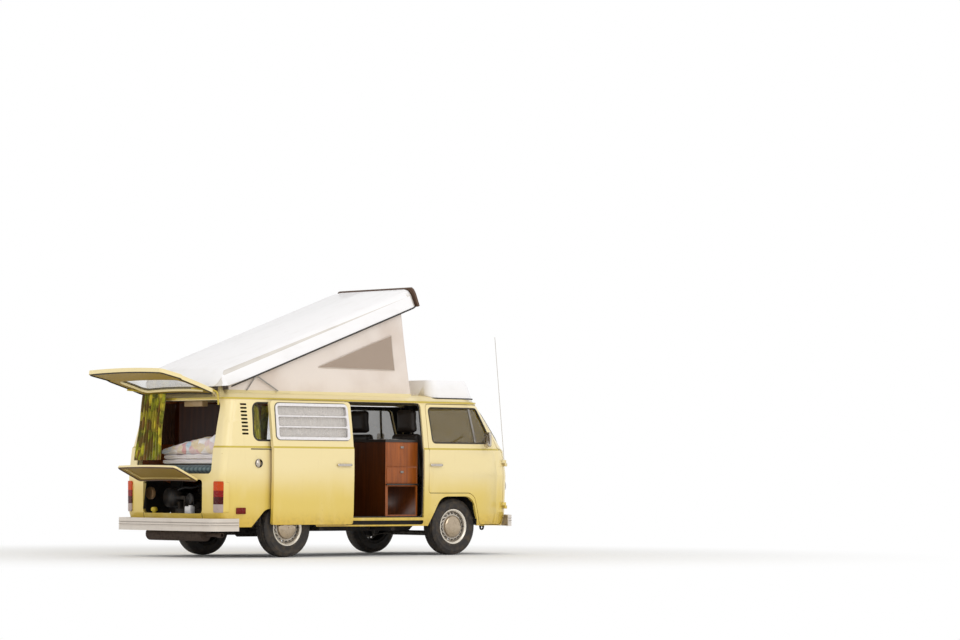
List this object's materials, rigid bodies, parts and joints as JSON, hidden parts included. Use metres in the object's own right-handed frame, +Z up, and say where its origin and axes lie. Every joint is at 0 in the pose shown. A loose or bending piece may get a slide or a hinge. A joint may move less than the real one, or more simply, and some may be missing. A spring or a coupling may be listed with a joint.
{
  "type": "camper van",
  "caption": "Family camper van with a hinged pop-up roof, sliding side door, tailgate over a bed, rear engine under a lid, kitchen unit and steered front wheels.",
  "frame": {"origin": "on the ground, half way between the axles, on the centre plane", "axes": "+X towards the front, +Y to the left, +Z up"},
  "size_m": [5.0359, 2, 2.9826],
  "materials": {
    "body_paint": "aged gloss paint",
    "white_moulding": "moulded gloss",
    "glass": "clear",
    "louvre_metal": "satin",
    "steel": "satin",
    "canvas": "woven",
    "curtain_cloth": "woven",
    "bed_cloth": "woven",
    "seat_cover": "grained",
    "floor_paint": "satin",
    "chassis_black": "satin",
    "engine_metal": "cast",
    "battery_case": "matt",
    "bumper_paint": "gloss",
    "kitchen_wood": "laminate",
    "dash_black": "matt",
    "lamp_red": "gloss",
    "lamp_glass": "clear",
    "wheel_paint": "satin",
    "tyre": "matt"
  },
  "bodies": {
    "body": {"right_side": "body_paint", "left_side": "body_paint", "front_panel": "body_paint", "aerial": "steel", "rear_panel": "body_paint", "tail_lamps": "lamp_red", "front_lamps": "lamp_glass", "roof_panel": "body_paint", "windscreen": "glass", "side_glass": "glass", "sliding_door": "body_paint", "louvre_frame": "louvre_metal", "louvre_glass": "glass", "door_arms": "steel", "tent": "canvas", "luggage_tray": "white_moulding", "floor": "floor_paint", "underframe": "chassis_black", "bumpers": "bumper_paint", "furniture": "kitchen_wood", "mattress": "bed_cloth", "front_seats": "seat_cover", "dashboard": "dash_black", "curtains": "curtain_cloth", "front_axle": "chassis_black", "engine": "engine_metal", "battery": "battery_case", "rear_axle": "chassis_black", "exhaust": "steel", "wipers": "dash_black"},
    "door_right": {"front_door_right": "body_paint", "front_door_glass_right": "glass"},
    "door_left": {"front_door_left": "body_paint", "front_door_glass_left": "glass"},
    "tailgate": {"tailgate": "body_paint", "tailgate_glass": "glass"},
    "engine_lid": {"engine_lid": "white_moulding"},
    "roof": {"pop_roof": "white_moulding"},
    "links_front": {"roof_links_front": "steel"},
    "links_rear": {"roof_links_rear": "steel"},
    "knuckle_left": {"knuckle_left": "chassis_black"},
    "knuckle_right": {"knuckle_right": "chassis_black"},
    "steering_wheel": {"steering_wheel": "dash_black"},
    "wheel_front_right": {"wheel_front_right": "wheel_paint", "tyre_front_right": "tyre"},
    "wheel_front_left": {"wheel_front_left": "wheel_paint", "tyre_front_left": "tyre"},
    "wheel_rear_right": {"wheel_rear_right": "wheel_paint", "tyre_rear_right": "tyre"},
    "wheel_rear_left": {"wheel_rear_left": "wheel_paint", "tyre_rear_left": "tyre"}
  },
  "joints": [
    {"name": "front_door_right", "type": "hinge", "parent": "body", "child": "door_right", "pos_m": [1.902, -0.866, 0.8], "axis": [0, 0, 1], "range_deg": [0, 65]},
    {"name": "front_door_left", "type": "hinge", "parent": "body", "child": "door_left", "pos_m": [1.902, 0.866, 0.8], "axis": [0, 0, -1], "range_deg": [0, 65]},
    {"name": "tailgate_hinge", "type": "hinge", "parent": "body", "child": "tailgate", "pos_m": [-1.972, 0, 1.763], "axis": [0, 1, 0], "range_deg": [-95, 0]},
    {"name": "engine_lid_hinge", "type": "hinge", "parent": "body", "child": "engine_lid", "pos_m": [-2.17, 0, 0.845], "axis": [0, 1, 0], "range_deg": [-115, 0]},
    {"name": "roof_hinge", "type": "hinge", "parent": "body", "child": "roof", "pos_m": [-1.955, 0, 1.838], "axis": [0, 1, 0], "range_deg": [0, 20], "deforming": ["tent"]},
    {"name": "roof_links_front", "type": "hinge", "parent": "roof", "child": "links_front", "pos_m": [-1.517, 0, 1.964], "axis": [0, -1, 0], "range_deg": [0, 48.6]},
    {"name": "roof_links_rear", "type": "hinge", "parent": "roof", "child": "links_rear", "pos_m": [-1.517, 0, 1.964], "axis": [0, 1, 0], "range_deg": [0, 29.5]},
    {"name": "steer_left", "type": "hinge", "parent": "body", "child": "knuckle_left", "pos_m": [1.2, 0.64, 0.32], "axis": [0, 0, 1], "range_deg": [-30, 30]},
    {"name": "steer_right", "type": "hinge", "parent": "body", "child": "knuckle_right", "pos_m": [1.2, -0.64, 0.32], "axis": [0, 0, 1], "range_deg": [-30.5, 30.5]},
    {"name": "steering", "type": "hinge", "parent": "body", "child": "steering_wheel", "pos_m": [1.57, 0.42, 1.14], "axis": [-0.5, 0, 0.866], "range_deg": [-362, 362]},
    {"name": "spin_front_left", "type": "hinge", "parent": "knuckle_left", "child": "wheel_front_left", "pos_m": [1.2, 0.6975, 0.32], "axis": [0, 1, 0], "continuous": true},
    {"name": "spin_front_right", "type": "hinge", "parent": "knuckle_right", "child": "wheel_front_right", "pos_m": [1.2, -0.6975, 0.32], "axis": [0, 1, 0], "continuous": true},
    {"name": "spin_rear_left", "type": "hinge", "parent": "body", "child": "wheel_rear_left", "pos_m": [-1.2, 0.7275, 0.32], "axis": [0, 1, 0], "continuous": true},
    {"name": "spin_rear_right", "type": "hinge", "parent": "body", "child": "wheel_rear_right", "pos_m": [-1.2, -0.7275, 0.32], "axis": [0, 1, 0], "continuous": true}
  ],
  "couplings": [
    {"joint": "steer_right", "follows": "steer_left", "ratio": 1},
    {"joint": "steering", "follows": "steer_left", "ratio": 12},
    {"joint": "roof_links_front", "follows": "roof_hinge", "ratio": 2.4175},
    {"joint": "roof_links_rear", "follows": "roof_hinge", "ratio": 1.457}
  ]
}
